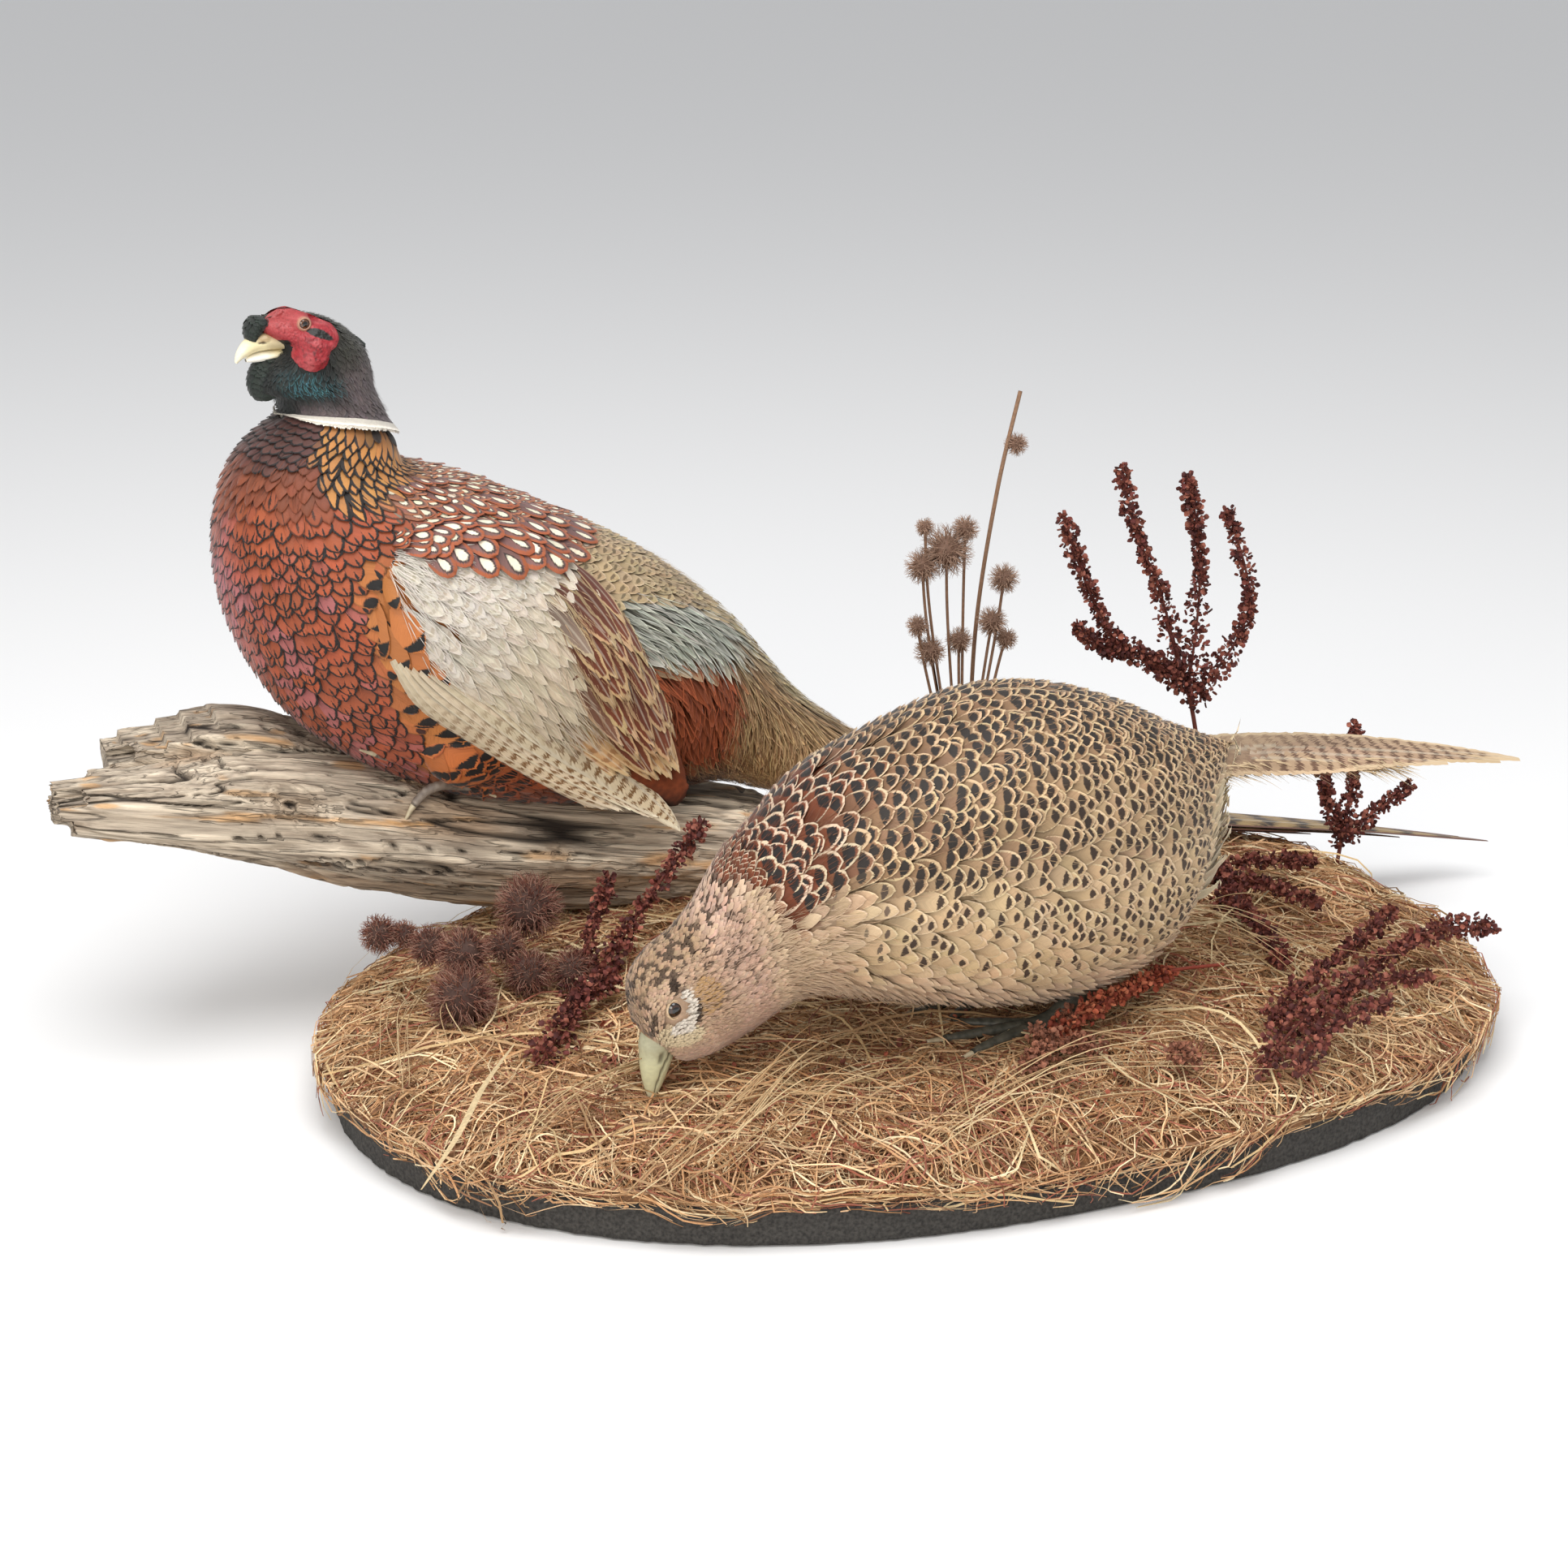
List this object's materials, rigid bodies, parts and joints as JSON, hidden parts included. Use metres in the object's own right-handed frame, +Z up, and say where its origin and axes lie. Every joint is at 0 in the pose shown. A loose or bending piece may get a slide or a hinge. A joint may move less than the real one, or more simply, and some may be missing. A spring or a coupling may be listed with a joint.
{
  "type": "mounted ring-necked pheasants",
  "caption": "Life-size museum mount: a cock ring-necked pheasant on a driftwood log with a hen feeding below, on an oval board with straw and dried plants.",
  "frame": {"origin": "centre of the board's flat underside", "axes": "+Z up from the board, -X the way both birds face, +Y from the hen's side towards the cock's side"},
  "size_m": [0.8092, 0.4241, 0.3697],
  "materials": {
    "board": "oval board edged with rough charcoal felt, matt",
    "straw": "dry orange-tan wood wool and straw, matt",
    "driftwood": "weathered grey-tan driftwood, deep grain, matt",
    "copper_feathers": "copper-red body feathers with black scallops, slight metallic sheen",
    "dark_green_feathers": "glossy green-black head and neck feathers with a white collar",
    "buff_feathers": "olive-tan and rust loose tail-covert feathers",
    "silver_feathers": "silver-grey wing coverts with cream and chestnut scapulars",
    "primary_feathers": "cream flight feathers barred with brown",
    "tail_feathers": "tan tail feathers with dark bars",
    "face_skin": "crimson pebbled bare skin, satin",
    "horn": "ivory horn, satin",
    "glass_eye": "dark brown glass eye, glossy",
    "leg_scale": "grey-brown scaled toes, satin",
    "hen_feathers": "buff-brown feathers with dark centres",
    "dock_seed": "dry red-brown seed, matt",
    "dry_stalk": "dry brown stalks and flower heads, matt",
    "burr_spines": "dark purplish-brown burr spines, matt"
  },
  "bodies": {
    "root": {"base_board": "board", "ground_mat": "straw", "log": "driftwood", "trunk": "copper_feathers", "neck": "dark_green_feathers", "head": "dark_green_feathers", "bill_upper": "horn", "bill_lower": "horn", "tail_coverts": "buff_feathers", "tail": "tail_feathers", "eye_left": "glass_eye", "wattle_left": "face_skin", "wing_left": "silver_feathers", "primaries_left": "primary_feathers", "leg_left": "copper_feathers", "foot_left": "leg_scale", "eye_right": "glass_eye", "wattle_right": "face_skin", "wing_right": "silver_feathers", "primaries_right": "primary_feathers", "leg_right": "copper_feathers", "foot_right": "leg_scale", "hen": "hen_feathers", "dock_tall": "dock_seed", "dock_short": "dock_seed", "thistle_twig": "dry_stalk", "flower_heads": "dry_stalk", "burr_heads": "burr_spines", "dock_lying": "dock_seed", "dock_leaning": "dock_seed", "dock_front": "dock_seed", "dock_by_foot": "dock_seed"}
  },
  "joints": []
}
